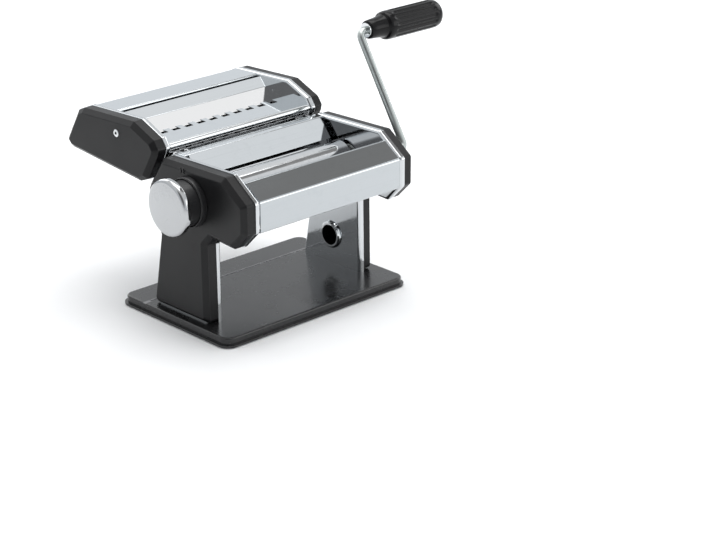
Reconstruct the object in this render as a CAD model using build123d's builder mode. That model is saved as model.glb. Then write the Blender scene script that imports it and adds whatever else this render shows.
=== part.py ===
from build123d import *
import math
import os

os.makedirs("parts", exist_ok=True)

# ---------------------------------------------------------------------------
# Hand-cranked pasta roller with a lift-off cutter head.
# Millimetres. X = machine width (+X crank side, -X thickness knob side),
# -Y = front hood, +Y = cutter head, Z up, origin under the middle of the base.
# ---------------------------------------------------------------------------

# side frames and covers
IN = 80.0            # inner face of each side plate
PT = 1.5             # sheet thickness of the side plates
FL = 85.5            # outer edge of the plates' rolled flange
CV = 98.0            # outer face of the black covers
CW = 2.2             # wall of the black covers
BEV = 4.2            # bevel round the cover face
EDGE = 0.7           # covers stand in from the outline of the plates' flange
BEND = 3.0           # outside radius of the bend between side plate and flange

# base
BX, BY, BTOP = 104.6, 70.5, 9.0
BSKIN = 1.5

# rollers
RR = 14.0            # roller radius
RJ = 5.0             # journal radius
FRY, FRZ = -17.0, 116.0
GAP0, GAPT = 2.6, 2.4        # gap at the widest setting, and its travel
RRY, RRZ = FRY + 2 * RR + GAP0, 116.0
TURN = 160.0         # thickness knob, widest to finest

# drive
CRY, CRZ = -55.5, 122.3      # crank axis
ARM_X = 118.0
GTY, GTZ = 3.6, 217.1        # grip axis
ROD = 3.5            # crank rod radius
CL = 0.05            # running clearance of shafts in holes

# thickness knob
KY, KZ = -19.0, 117.0

# outline of the main side plates, (Y, Z)
MAIN = [(-37, 9), (-36, 81), (-43, 88.5), (-71.5, 86.8), (-88, 103.5),
        (-88, 129.5), (-61, 148.5), (20, 146), (39.7, 116.7), (40.4, 111),
        (26, 76), (38, 9)]
# outline of the cutter head's side plates
HEAD = [(27.2, 144.4), (41.2, 119.8), (52.2, 115.4), (147.8, 123.4),
        (155.4, 130.9), (137.2, 161.4), (129.0, 165.2), (58.6, 168.6),
        (31.9, 157.8), (25.9, 149.6)]

# rear slope of the machine, along which the head slides
S0 = (20.0, 146.0)
SD = (0.5580, -0.8299)       # down the slope
SN = (0.8299, 0.5580)        # out from it

# cutters
CZ = 138.0
CR = 10.0            # ring radius
CS = 19.0            # centre distance of a pair
WA, WB = 60.2, 79.2  # wide pair
FA, FB = 100.0, 119.0  # fine pair
WP, WD = 14.0, 6.8   # wide pitch and ring width
FP, FD = 4.0, 1.85   # fine pitch and ring width
CJ = 4.0             # cutter journal radius


def slope(s, n):
    return (S0[0] + s * SD[0] + n * SN[0], S0[1] + s * SD[1] + n * SN[1])


def spur(z, pitch, tip, root, press, thin, phase):
    """Corner points of an involute spur gear, first tooth centred at phase."""
    a0 = math.radians(press)
    base = pitch * math.cos(a0)
    half = (math.pi * pitch / z - thin) / (2 * pitch)
    inv0 = math.tan(a0) - a0
    low = max(base, root)
    pts = []
    for k in range(z):
        c = math.radians(phase) + 2 * math.pi * k / z
        flank = []
        if root < base:
            flank.append((root, half + inv0))
        for i in range(4):
            r = low + (tip - low) * i / 3
            a = math.acos(min(1.0, base / r))
            flank.append((r, half + inv0 - (math.tan(a) - a)))
        for r, w in flank:
            pts.append((r * math.cos(c - w), r * math.sin(c - w)))
        for r, w in reversed(flank):
            pts.append((r * math.cos(c + w), r * math.sin(c + w)))
    return pts


def shift(pts, y, z):
    return [(p[0] + y, p[1] + z) for p in pts]


def disc(y, z, x0, x1, r, mode=Mode.ADD):
    """Round bar along X, drawn in the block that is open."""
    with BuildSketch(Plane.YZ.offset(x0)) as sk:
        with Locations((y, z)):
            Circle(r)
    extrude(sk.sketch, amount=x1 - x0, mode=mode)


def slab(pts, x0, x1, r=0.0, inset=0.0, mode=Mode.ADD, floor=-1e9):
    """Outline in (Y, Z) with corners above floor rounded, pushed from x0 to x1."""
    with BuildSketch(Plane.YZ.offset(x0)) as sk:
        with BuildLine():
            Polyline(*pts, close=True)
        make_face()
        if inset:
            offset(amount=-inset, kind=Kind.INTERSECTION, mode=Mode.REPLACE)
        if r:
            fillet(sk.vertices().filter_by(lambda v: v.Y > floor), r)
    extrude(sk.sketch, amount=x1 - x0, mode=mode)


def tray(pts, s, r, bend):
    """Pressed side plate: flat face at s * IN, outward flange to s * FL."""
    with BuildPart() as outer:
        slab(pts, s * IN, s * FL, r=r, floor=BTOP + PT + 1)
        rim = outer.faces().sort_by(Axis.X)[-1 if s < 0 else 0].edges()
        fillet(rim.filter_by(lambda e: e.center().Z > BTOP + PT + 1), bend)
    with BuildPart() as inner:
        slab(pts, s * (IN + PT), s * (FL + 1), r=r - PT, inset=PT, floor=BTOP + PT + 1)
        rim = inner.faces().sort_by(Axis.X)[-1 if s < 0 else 0].edges()
        fillet(rim.filter_by(lambda e: e.center().Z > BTOP + PT + 1), bend - PT)
    add(outer.part)
    add(inner.part, mode=Mode.SUBTRACT)


def bevelled(pts, x0, x1, x2, r1, in1, r2, in2, mode=Mode.ADD):
    """Outline pushed from x0 to x1, then drawn in to a smaller outline at x2."""
    slab(pts, x0, x1, r1, in1, mode)
    rims = []
    for x, r, inset in ((x1, r1, in1), (x2, r2, in2)):
        with BuildSketch(Plane.YZ.offset(x)) as sk:
            with BuildLine():
                Polyline(*pts, close=True)
            make_face()
            offset(amount=-inset, kind=Kind.INTERSECTION, mode=Mode.REPLACE)
            fillet(sk.vertices(), r)
        rims.append(sk.sketch)
    loft(rims, ruled=True, mode=mode)


def bent_line(pts, radii):
    """Open line through pts with a bend of its own radius at each inner corner."""
    here = pts[0]
    for (ay, az), (by, bz), (cy, cz), r in zip(pts, pts[1:], pts[2:], radii):
        la, lc = math.hypot(ay - by, az - bz), math.hypot(cy - by, cz - bz)
        ua = ((ay - by) / la, (az - bz) / la)
        uc = ((cy - by) / lc, (cz - bz) / lc)
        half = math.acos(ua[0] * uc[0] + ua[1] * uc[1]) / 2
        t = r / math.tan(half)
        mid = (ua[0] + uc[0], ua[1] + uc[1])
        lm = math.hypot(*mid)
        d = r / math.sin(half) - r
        p = (by + ua[0] * t, bz + ua[1] * t)
        q = (by + uc[0] * t, bz + uc[1] * t)
        Line(here, p)
        ThreePointArc(p, (by + mid[0] / lm * d, bz + mid[1] / lm * d), q)
        here = q
    Line(here, pts[-1])


def sheet(pts, x0, x1, t, bend=1.2):
    """Bent sheet: the open line pts in (Y, Z) thickened by t, from x0 to x1."""
    with BuildSketch(Plane.YZ.offset(x0)) as sk:
        with BuildLine():
            if isinstance(bend, (list, tuple)):
                bent_line(pts, bend)
            elif len(pts) > 2:
                FilletPolyline(*pts, radius=bend)
            else:
                Line(pts[0], pts[1])
            offset(amount=t / 2, side=Side.BOTH, closed=True, kind=Kind.ARC)
        make_face()
    extrude(sk.sketch, amount=x1 - x0)


def ring_profile(xs, wid, big, small, x0, x1):
    """Half section of a shaft with rings: list of (x, r)."""
    pts = [(x0, 0), (x0, small)]
    for c in xs:
        pts += [(c - wid / 2, small), (c - wid / 2, big), (c + wid / 2, big), (c + wid / 2, small)]
    pts += [(x1, small), (x1, 0)]
    return pts


def turned(y, z):
    """Plane through a lathe axis parallel to X: local x = X, local y = up."""
    return Plane(origin=(0, y, z), x_dir=(1, 0, 0), z_dir=(0, -1, 0))


def lathe(pts, y, z, mode=Mode.ADD):
    with BuildSketch(turned(y, z)) as sk:
        with BuildLine():
            Polyline(*pts, close=True)
        make_face()
    revolve(sk.sketch, axis=Axis((0, y, z), (1, 0, 0)), mode=mode)


# ---------------------------------------------------------------------------
# Base: pressed pan with a small outward brim, on rubber feet
# ---------------------------------------------------------------------------
FOOTX = (83.0, 90.0)
FOOT_SCREWS = [(s * 89.5, y) for s in (-1, 1) for y in (-22.0, 22.0)]

with BuildPart() as base_plate:
    with BuildSketch(Plane.XY.offset(1.0)):
        RectangleRounded(2 * BX + 4.4, 2 * BY + 4.4, 11)
    extrude(amount=1.6)
    with BuildSketch(Plane.XY.offset(1.0)):
        RectangleRounded(2 * BX, 2 * BY, 9)
    extrude(amount=BTOP - 1.0)
    fillet(base_plate.faces().sort_by(Axis.Z)[-1].edges(), 1.6)
    with BuildSketch(Plane.XY.offset(1.0)):
        RectangleRounded(2 * BX - 3.2, 2 * BY - 3.2, 7.6)
    extrude(amount=BTOP - BSKIN - 1.0, mode=Mode.SUBTRACT)
    # stiffening crease pressed along the back of the top
    with BuildSketch(Plane.YZ.offset(-98)) as rib:
        with Locations((41.0, BTOP - 0.65)):
            Circle(1.2)
        with Locations((41.0, BTOP + 1.0)):
            Rectangle(4.0, 2.4, mode=Mode.INTERSECT)
    extrude(rib.sketch, amount=196)
    with BuildSketch(Plane.XY.offset(BTOP - BSKIN)):
        with Locations(*FOOT_SCREWS):
            Circle(2.2)
    extrude(amount=BSKIN, mode=Mode.SUBTRACT)
base_plate.part.label = "base_plate"
export_step(base_plate.part, "parts/base_plate.step")

with BuildPart() as rubber_feet:
    with BuildSketch(Plane.XY):
        with Locations((-92, -58), (92, -58), (-92, 58), (92, 58), (0, 0)):
            Circle(9)
    extrude(amount=BTOP - BSKIN)
    chamfer(rubber_feet.faces().sort_by(Axis.Z)[0:5].edges(), 0.6)
rubber_feet.part.label = "rubber_feet"
export_step(rubber_feet.part, "parts/rubber_feet.step")

with BuildPart() as foot_screws:
    with BuildSketch(Plane.XY.offset(BTOP - BSKIN - 2.4)):
        with Locations(*FOOT_SCREWS):
            Circle(3.8)
    extrude(amount=2.4)
    with BuildSketch(Plane.XY.offset(BTOP - BSKIN - 2.4)):
        with Locations(*FOOT_SCREWS):
            RegularPolygon(1.6, 6)
    extrude(amount=1.4, mode=Mode.SUBTRACT)
    with BuildSketch(Plane.XY.offset(BTOP - BSKIN)):
        with Locations(*FOOT_SCREWS):
            Circle(2.0)
    extrude(amount=7.5)
    with BuildSketch(Plane.XY.offset(BTOP + 1.5)):
        with Locations(*FOOT_SCREWS):
            RegularPolygon(4.0, 6)
    extrude(amount=3.0)
foot_screws.part.label = "foot_screws"
export_step(foot_screws.part, "parts/foot_screws.step")

# ---------------------------------------------------------------------------
# Side plates: pressed trays with an outward flange and a foot
# ---------------------------------------------------------------------------
RODS = [(-76.0, 108.5), (-50.0, 95.0), (24.0, 94.0), (15.0, 137.5)]
EYE = (0.0, 36.0)

with BuildPart() as left_side_plate:
    tray(MAIN, -1, 4.0, BEND)
    with BuildSketch(Plane.XY.offset(BTOP)):
        with Locations((-(IN + BEND + 94) / 2, 0)):
            Rectangle(94 - IN - BEND, 62)
    extrude(amount=PT)
    for ry, rz in RODS:
        disc(ry, rz, -IN, -IN - PT, 2.5, Mode.SUBTRACT)
    disc(FRY, FRZ, -IN, -IN - PT, 7.0, Mode.SUBTRACT)
    with BuildSketch(Plane.YZ.offset(-IN)):
        with Locations((RRY - GAPT / 2, RRZ)):
            SlotCenterToCenter(GAPT + 0.4, 2 * RJ + 1.0)
    extrude(amount=-PT, mode=Mode.SUBTRACT)
    with BuildSketch(Plane.XY.offset(BTOP)):
        with Locations(*[p for p in FOOT_SCREWS if p[0] < 0]):
            Circle(2.0)
    extrude(amount=PT, mode=Mode.SUBTRACT)
left_side_plate.part.label = "left_side_plate"
export_step(left_side_plate.part, "parts/left_side_plate.step")

with BuildPart() as right_side_plate:
    tray(MAIN, 1, 4.0, BEND)
    with BuildSketch(Plane.XY.offset(BTOP)):
        with Locations(((IN + BEND + 94) / 2, 0)):
            Rectangle(94 - IN - BEND, 62)
    extrude(amount=PT)
    for ry, rz in RODS:
        disc(ry, rz, IN, IN + PT, 2.5, Mode.SUBTRACT)
    disc(FRY, FRZ, IN, IN + PT, 7.0, Mode.SUBTRACT)
    disc(CRY, CRZ, IN, IN + PT, 7.5, Mode.SUBTRACT)
    disc(EYE[0], EYE[1], IN, IN + PT, 10.5, Mode.SUBTRACT)
    with BuildSketch(Plane.YZ.offset(IN)):
        with Locations((RRY - GAPT / 2, RRZ)):
            SlotCenterToCenter(GAPT + 0.4, 2 * RJ + 1.0)
    extrude(amount=PT, mode=Mode.SUBTRACT)
    with BuildSketch(Plane.XY.offset(BTOP)):
        with Locations(*[p for p in FOOT_SCREWS if p[0] > 0]):
            Circle(2.0)
    extrude(amount=PT, mode=Mode.SUBTRACT)
right_side_plate.part.label = "right_side_plate"
export_step(right_side_plate.part, "parts/right_side_plate.step")

# flared eyelet for the table clamp, in the crank-side leg
with BuildPart() as clamp_eyelet:
    lathe([(IN - 2.6, 9.5), (IN - 2.6, 11.0), (IN - 1.6, 12.4), (IN - 0.6, 12.8), (IN, 12.4),
           (IN, 10.5), (IN + PT, 10.5), (IN + PT, 11.6), (IN + PT + 1.5, 11.6), (IN + PT + 1.5, 9.5)],
          EYE[0], EYE[1])
clamp_eyelet.part.label = "clamp_eyelet"
export_step(clamp_eyelet.part, "parts/clamp_eyelet.step")

# ---------------------------------------------------------------------------
# Black covers with a bevelled face
# ---------------------------------------------------------------------------
with BuildPart() as main_cavity:
    bevelled(MAIN, FL, 92.2, CV - CW, 2.0, CW + EDGE, 0.8, CW + EDGE + 2.2)

with BuildPart() as right_cover:
    bevelled(MAIN, FL, CV - BEV, CV, 3.6, EDGE, 2.4, EDGE + BEV)
    fillet(right_cover.faces().sort_by(Axis.X)[-1].edges(), 1.2)
    add(main_cavity.part, mode=Mode.SUBTRACT)
    with BuildSketch(Plane.XY.offset(BTOP)):
        with Locations((90.1, 0)):
            Rectangle(9.2, 64)
    extrude(amount=6, mode=Mode.SUBTRACT)
    disc(CRY, CRZ, FL, CV + 2, 7.5, Mode.SUBTRACT)
right_cover.part.label = "right_cover"
export_step(right_cover.part, "parts/right_cover.step")

with BuildPart() as left_cover:
    bevelled(MAIN, FL, CV - BEV, CV, 3.6, EDGE, 2.4, EDGE + BEV)
    fillet(left_cover.faces().sort_by(Axis.X)[-1].edges(), 1.2)
    add(main_cavity.part, mode=Mode.SUBTRACT)
    with BuildSketch(Plane.XY.offset(BTOP)):
        with Locations((90.1, 0)):
            Rectangle(9.2, 64)
    extrude(amount=6, mode=Mode.SUBTRACT)
    # two raised index bars above the knob
    with BuildSketch(Plane.YZ.offset(CV - 0.2)):
        with Locations((KY + 8.0, KZ + 25.0), (KY + 11.4, KZ + 25.0)):
            RectangleRounded(1.4, 5.2, 0.6)
    extrude(amount=0.9)
    disc(KY, KZ, 90.0, CV, 9.0)
    disc(KY, KZ, FL, CV, RJ + CL, Mode.SUBTRACT)
    mirror(about=Plane.YZ, mode=Mode.REPLACE)
left_cover.part.label = "left_cover"
export_step(left_cover.part, "parts/left_cover.step")

# ---------------------------------------------------------------------------
# Bright sheets between the side plates
# ---------------------------------------------------------------------------
with BuildPart() as front_hood:
    sheet([(-65.8, 138.4), (-67.2, 142.5), (-87.0, 129.0), (-87.0, 102.6), (-80.5, 102.6)], -IN, IN, 0.8,
          (2.0, 3.2, 0.9))
front_hood.part.label = "front_hood"
export_step(front_hood.part, "parts/front_hood.step")

with BuildPart() as guide_plate:
    sheet([(-3.6, 129.6), (9.5, 145.8), (18.2, 145.5)], -IN, IN, 0.8, 1.5)
    with BuildSketch(Plane.YZ.offset(-IN)):
        with Locations((0.5, 138.0)):
            Rectangle(17.0, 24.0)
    extrude(amount=4.2, mode=Mode.SUBTRACT)
    with BuildSketch(Plane.YZ.offset(IN)):
        with Locations((0.5, 138.0)):
            Rectangle(17.0, 24.0)
    extrude(amount=-4.2, mode=Mode.SUBTRACT)
guide_plate.part.label = "guide_plate"
export_step(guide_plate.part, "parts/guide_plate.step")

with BuildPart() as rear_panel:
    sheet([(19.4, 144.3), (38.5, 116.3), (39.2, 111.2), (27.6, 83.0)], -IN, IN, 0.8, 1.5)
rear_panel.part.label = "rear_panel"
export_step(rear_panel.part, "parts/rear_panel.step")

# rails on the rear slope that take the head's tongues
with BuildPart() as head_rails:
    for xs in (-70.0, 70.0):
        for a, b, n0, n1 in ((xs - 8, xs + 8, -0.6, 0.9), (xs - 8, xs - 6.8, 0.9, 5.0),
                             (xs + 6.8, xs + 8, 0.9, 5.0), (xs - 6.8, xs - 4.2, 3.9, 5.0),
                             (xs + 4.2, xs + 6.8, 3.9, 5.0)):
            slab([slope(6, n0), slope(28, n0), slope(28, n1), slope(6, n1)], a, b)
        slab([slope(27, 0.9), slope(28, 0.9), slope(28, 5.0), slope(27, 5.0)], xs - 8, xs + 8)
head_rails.part.label = "head_rails"
export_step(head_rails.part, "parts/head_rails.step")

with BuildPart() as tie_rods:
    for ry, rz in RODS:
        disc(ry, rz, -IN, IN, 3.5)
        disc(ry, rz, -IN - 4.6, IN + 4.6, 2.5)
tie_rods.part.label = "tie_rods"
export_step(tie_rods.part, "parts/tie_rods.step")

with BuildPart() as tie_rod_nuts:
    for x0 in (IN + PT, -IN - PT - 3.0):
        with BuildSketch(Plane.YZ.offset(x0)):
            with Locations(*RODS):
                RegularPolygon(4.0, 6)
                Circle(2.5, mode=Mode.SUBTRACT)
        extrude(amount=3.0)
tie_rod_nuts.part.label = "tie_rod_nuts"
export_step(tie_rod_nuts.part, "parts/tie_rod_nuts.step")

with BuildPart() as front_scraper:
    sheet([(-50.0, 99.4), (-29.0, 106.6)], -IN, IN, 0.8)
front_scraper.part.label = "front_scraper"
export_step(front_scraper.part, "parts/front_scraper.step")

# flanged bushes: front roller both ends, crank socket in plate and cover
with BuildPart() as bearing_bushes:
    for s in (-1, 1):
        lathe([(s * 78.4, RJ + CL), (s * 78.4, 8.4), (s * IN, 8.4), (s * IN, 7.0),
               (s * (IN + PT), 7.0), (s * (IN + PT), RJ + CL)], FRY, FRZ)
    lathe([(IN - 1.0, 6 + CL), (IN - 1.0, 9.0), (IN, 9.0), (IN, 7.5), (IN + PT + 0.6, 7.5),
           (IN + PT + 0.6, 6 + CL)], CRY, CRZ)
    lathe([(CV - CW, 6 + CL), (CV - CW, 7.5), (CV, 7.5), (CV, 9.4), (CV + 0.9, 9.0),
           (CV + 0.9, 6 + CL)], CRY, CRZ)
bearing_bushes.part.label = "bearing_bushes"
export_step(bearing_bushes.part, "parts/bearing_bushes.step")

# ---------------------------------------------------------------------------
# Drive: crank socket and pinion
# ---------------------------------------------------------------------------
BETA = math.degrees(math.atan2(FRZ - CRZ, FRY - CRY))
Z1, Z2, ZS = 20, 32, 14
M1 = 1.5
SP = 14.05           # pitch radius of the two roller gears when the gap is closed

with BuildPart() as crank_socket:
    disc(CRY, CRZ, IN - 1.6, CV + 1.4, 6.0)
    with BuildSketch(Plane.YZ.offset(84.0)):
        with Locations((CRY, CRZ)):
            Circle(ROD + CL)
        with Locations((CRY, CRZ + ROD + CL - 0.4 + 0.8)):
            Rectangle(8, 1.6, mode=Mode.SUBTRACT)
    extrude(amount=20, mode=Mode.SUBTRACT)
crank_socket.part.label = "crank_socket"
export_step(crank_socket.part, "parts/crank_socket.step")

with BuildPart() as drive_pinion:
    slab(shift(spur(Z1, 15.0, 16.4, 13.0, 25, 0.22, BETA), CRY, CRZ), 89.5, 95.0)
    disc(CRY, CRZ, 84.5, 89.5, 9.0)
    disc(CRY, CRZ, 84.5, 95.0, 6.0, Mode.SUBTRACT)
drive_pinion.part.label = "drive_pinion"
export_step(drive_pinion.part, "parts/drive_pinion.step")

# ---------------------------------------------------------------------------
# Crank: bent rod, washer, fluted grip
# ---------------------------------------------------------------------------
with BuildPart() as crank_rod:
    with BuildLine():
        FilletPolyline((84.5, CRY, CRZ), (ARM_X, CRY, CRZ), (ARM_X, GTY, GTZ), (206, GTY, GTZ), radius=7.0)
    with BuildSketch(Plane(origin=(84.5, CRY, CRZ), x_dir=(0, 1, 0), z_dir=(1, 0, 0))):
        Circle(ROD)
    sweep()
    with BuildSketch(Plane.YZ.offset(84.5)):
        with Locations((CRY, CRZ + ROD - 0.4 - 0.05 + 0.8)):
            Rectangle(8, 1.6)
    extrude(amount=15.4, mode=Mode.SUBTRACT)
crank_rod.part.label = "crank_rod"
export_step(crank_rod.part, "parts/crank_rod.step")

with BuildPart() as crank_washer:
    lathe([(126.2, ROD), (126.2, 6.6), (127.4, 6.6), (127.4, ROD)], GTY, GTZ)
crank_washer.part.label = "crank_washer"
export_step(crank_washer.part, "parts/crank_washer.step")

G0 = 127.7
with BuildPart() as crank_grip:
    with BuildSketch(turned(GTY, GTZ)):
        with BuildLine():
            Polyline((G0, ROD + CL), (G0, 7.6), (G0 + 0.8, 8.4), (G0 + 13, 9.6), (G0 + 18.5, 10.4),
                     (G0 + 19.5, 12.2), (G0 + 21.5, 13.1))
            Line((G0 + 21.5, 13.1), (G0 + 80, 13.1))
            ThreePointArc((G0 + 80, 13.1), (G0 + 85.6, 10.2), (G0 + 88.5, 4.0))
            Line((G0 + 88.5, 4.0), (G0 + 88.8, 0))
            Line((G0 + 88.8, 0), (G0 + 80, 0))
            Line((G0 + 80, 0), (G0 + 80, ROD + CL))
            Line((G0 + 80, ROD + CL), (G0, ROD + CL))
        make_face()
    revolve(axis=Axis((0, GTY, GTZ), (1, 0, 0)))
    with BuildSketch(Plane.YZ.offset(G0 + 24)):
        with Locations((GTY, GTZ)):
            with PolarLocations(13.7, 14):
                Circle(1.9)
    extrude(amount=54, mode=Mode.SUBTRACT)
crank_grip.part.label = "crank_grip"
export_step(crank_grip.part, "parts/crank_grip.step")

# ---------------------------------------------------------------------------
# Rollers and their gears
# ---------------------------------------------------------------------------
with BuildPart() as front_roller:
    disc(FRY, FRZ, -77.0, 77.0, RR)
    chamfer(front_roller.faces().filter_by(Plane.YZ).edges(), 0.6)
    disc(FRY, FRZ, -82.2, 95.2, RJ)
front_roller.part.label = "front_roller"
export_step(front_roller.part, "parts/front_roller.step")

with BuildPart() as roller_drive_gear:
    slab(shift(spur(Z2, 24.0, 25.4, 22.0, 25, 0.22, BETA + 180 + 180.0 / Z2), FRY, FRZ), 89.5, 95.0)
    disc(FRY, FRZ, 88.2, 89.5, 9.0)
    disc(FRY, FRZ, 88.2, 95.0, RJ, Mode.SUBTRACT)
    with BuildSketch(Plane.YZ.offset(89.5)):
        with Locations((FRY, FRZ)):
            with PolarLocations(14.5, 6):
                Circle(4.2)
    extrude(amount=5.5, mode=Mode.SUBTRACT)
roller_drive_gear.part.label = "roller_drive_gear"
export_step(roller_drive_gear.part, "parts/roller_drive_gear.step")

with BuildPart() as front_sync_gear:
    slab(shift(spur(ZS, SP, 16.2, 11.6, 25, 0.3, 0), FRY, FRZ), 82.7, 87.9)
    disc(FRY, FRZ, 82.7, 87.9, RJ, Mode.SUBTRACT)
front_sync_gear.part.label = "front_sync_gear"
export_step(front_sync_gear.part, "parts/front_sync_gear.step")

with BuildPart() as rear_roller:
    disc(RRY, RRZ, -77.0, 77.0, RR)
    chamfer(rear_roller.faces().filter_by(Plane.YZ).edges(), 0.6)
    disc(RRY, RRZ, -86.0, 88.4, RJ)
rear_roller.part.label = "rear_roller"
export_step(rear_roller.part, "parts/rear_roller.step")

with BuildPart() as rear_sync_gear:
    slab(shift(spur(ZS, SP, 16.2, 11.6, 25, 0.3, 180 + 180.0 / ZS), RRY, RRZ), 82.7, 87.9)
    disc(RRY, RRZ, 82.7, 87.9, RJ, Mode.SUBTRACT)
rear_sync_gear.part.label = "rear_sync_gear"
export_step(rear_sync_gear.part, "parts/rear_sync_gear.step")

# ---------------------------------------------------------------------------
# Sliding carriage of the rear roller, and its gauge strap on the knob side
# ---------------------------------------------------------------------------
SLOT_T = GAPT + 0.2


def carriage_plate(x0, x1):
    with BuildSketch(Plane.YZ.offset(x0)) as sk:
        with Locations((RRY, RRZ)):
            Circle(11)
        with Locations((RODS[2][0] + 1.2, RODS[2][1]), (13.0, 98.2)):
            Circle(5.6)
        with Locations((RODS[3][0] + 1.2, RODS[3][1])):
            Circle(6.0)
        make_hull()
    extrude(sk.sketch, amount=x1 - x0)
    disc(RRY, RRZ, x0, x1, RJ + CL, Mode.SUBTRACT)
    disc(12.5, 98.2, x0, x1, 2.2, Mode.SUBTRACT)
    with BuildSketch(Plane.YZ.offset(x0)) as slots:
        for ry, rz in RODS[2:]:
            with Locations((ry + GAPT / 2, rz)):
                SlotCenterToCenter(SLOT_T, 2 * (3.5 + CL))
    extrude(slots.sketch, amount=x1 - x0, mode=Mode.SUBTRACT)


with BuildPart() as carriage_left_plate:
    carriage_plate(-79.6, -77.4)
carriage_left_plate.part.label = "carriage_left_plate"
export_step(carriage_left_plate.part, "parts/carriage_left_plate.step")

with BuildPart() as carriage_right_plate:
    carriage_plate(77.4, 79.6)
carriage_right_plate.part.label = "carriage_right_plate"
export_step(carriage_right_plate.part, "parts/carriage_right_plate.step")

with BuildPart() as carriage_bar:
    disc(12.5, 98.2, -77.4, 77.4, 3.0)
    disc(12.5, 98.2, -79.6, 79.6, 2.2)
carriage_bar.part.label = "carriage_bar"
export_step(carriage_bar.part, "parts/carriage_bar.step")

with BuildPart() as rear_scraper:
    sheet([(29.0, 103.6), (18.8, 101.6)], -77.4, 77.4, 0.8)
rear_scraper.part.label = "rear_scraper"
export_step(rear_scraper.part, "parts/rear_scraper.step")

FOL = KY - 21.0      # follower pin at the widest setting
FPR = 3.0
with BuildPart() as gauge_strap:
    with BuildSketch(Plane.YZ.offset(-85.2)):
        with Locations((RRY, RRZ)):
            Circle(9)
        with Locations((FOL, KZ)):
            Circle(5.5)
        make_hull()
    extrude(amount=2.6)
    disc(RRY, RRZ, -85.2, -82.6, RJ + CL, Mode.SUBTRACT)
    disc(FOL, KZ, -85.2, -82.6, 2.0, Mode.SUBTRACT)
gauge_strap.part.label = "gauge_strap"
export_step(gauge_strap.part, "parts/gauge_strap.step")

with BuildPart() as follower_pin:
    disc(FOL, KZ, -85.2, -82.6, 2.0)
    disc(FOL, KZ, -89.2, -85.2, FPR)
follower_pin.part.label = "follower_pin"
export_step(follower_pin.part, "parts/follower_pin.step")

# ---------------------------------------------------------------------------
# Thickness knob: shaft, spiral cam, collar ring with nine holes, pull knob
# ---------------------------------------------------------------------------
cam = []
for i in range(0, 144):
    psi = 188.0 - 2.5 * i            # direction in the cam, from +Y towards +Z
    phi = 180.0 - psi
    if phi <= TURN + 8:
        r = 17.9 + GAPT * phi / TURN - 0.02
    else:
        u = (phi - TURN - 8) / (360 - TURN - 16)
        r = 20.4 - 2.6 * (3 * u * u - 2 * u ** 3)
    cam.append((KY + r * math.cos(math.radians(psi)), KZ + r * math.sin(math.radians(psi))))

with BuildPart() as gauge_cam:
    slab(cam, -89.0, -86.2)
    disc(KY, KZ, -89.0, -86.2, RJ, Mode.SUBTRACT)
gauge_cam.part.label = "gauge_cam"
export_step(gauge_cam.part, "parts/gauge_cam.step")

with BuildPart() as knob_shaft:
    disc(KY, KZ, -85.7, -118.0, RJ)
    disc(KY, KZ, -89.0, -89.7, 7.0)
    with BuildSketch(Plane.YZ.offset(-101)):
        with Locations((KY, KZ + 6.3), (KY, KZ - 6.3)):
            Rectangle(12, 4)
    extrude(amount=-17, mode=Mode.SUBTRACT)
    disc(KY, KZ, -108.0, -118.0, 2.0, Mode.SUBTRACT)
knob_shaft.part.label = "knob_shaft"
export_step(knob_shaft.part, "parts/knob_shaft.step")

with BuildPart() as knob_retainer:
    disc(KY, KZ, -118.0, -119.0, 7.2)
    disc(KY, KZ, -119.0, -120.8, 3.8)
    disc(KY, KZ, -108.5, -118.0, 2.0)
    with BuildSketch(Plane.YZ.offset(-120.8)):
        with Locations((KY, KZ)):
            Rectangle(5.4, 0.9)
            Rectangle(0.9, 5.4)
    extrude(amount=1.0, mode=Mode.SUBTRACT)
knob_retainer.part.label = "knob_retainer"
export_step(knob_retainer.part, "parts/knob_retainer.step")

with BuildPart() as knob_spring:
    with BuildLine() as coil:
        Helix(pitch=1.75, height=6.6, radius=6.3, center=(-110.65, KY, KZ), direction=(-1, 0, 0))
    with BuildSketch(Plane(origin=coil.line @ 0, z_dir=coil.line % 0)):
        Circle(0.55)
    sweep()
knob_spring.part.label = "knob_spring"
export_step(knob_spring.part, "parts/knob_spring.step")

with BuildPart() as index_collar:
    lathe([(-98.0, 7.5), (-98.0, 22.0), (-102.9, 22.0), (-103.5, 21.4), (-103.5, 20.5),
           (-99.5, 20.5), (-99.5, 7.5)], KY, KZ)
    with BuildSketch(Plane.YZ.offset(-98.0)):
        for k in range(9):
            a = math.radians(90 + 20 * k)
            with Locations((KY + 15 * math.cos(a), KZ + 15 * math.sin(a))):
                Circle(1.7)
    extrude(amount=-1.5, mode=Mode.SUBTRACT)
index_collar.part.label = "index_collar"
export_step(index_collar.part, "parts/index_collar.step")

with BuildPart() as knob_body:
    lathe([(-100.2, 17.6), (-100.2, 20.0), (-117.0, 20.0), (-117.0, 7.6), (-110.0, 7.6), (-110.0, 0),
           (-102.0, 0), (-102.0, 9.4), (-114.0, 9.4), (-114.0, 17.6)], KY, KZ)
    with BuildSketch(Plane.YZ.offset(-102.0)):
        with Locations((KY, KZ)):
            Circle(RJ + CL)
            Rectangle(12, 2 * 4.36, mode=Mode.INTERSECT)
    extrude(amount=-8.0, mode=Mode.SUBTRACT)
    disc(KY, KZ + 15, -114.0, -117.0, 1.5, Mode.SUBTRACT)
knob_body.part.label = "knob_body"
export_step(knob_body.part, "parts/knob_body.step")

with BuildPart() as index_pin:
    disc(KY, KZ + 15, -99.9, -117.0, 1.5)
index_pin.part.label = "index_pin"
export_step(index_pin.part, "parts/index_pin.step")

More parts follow.
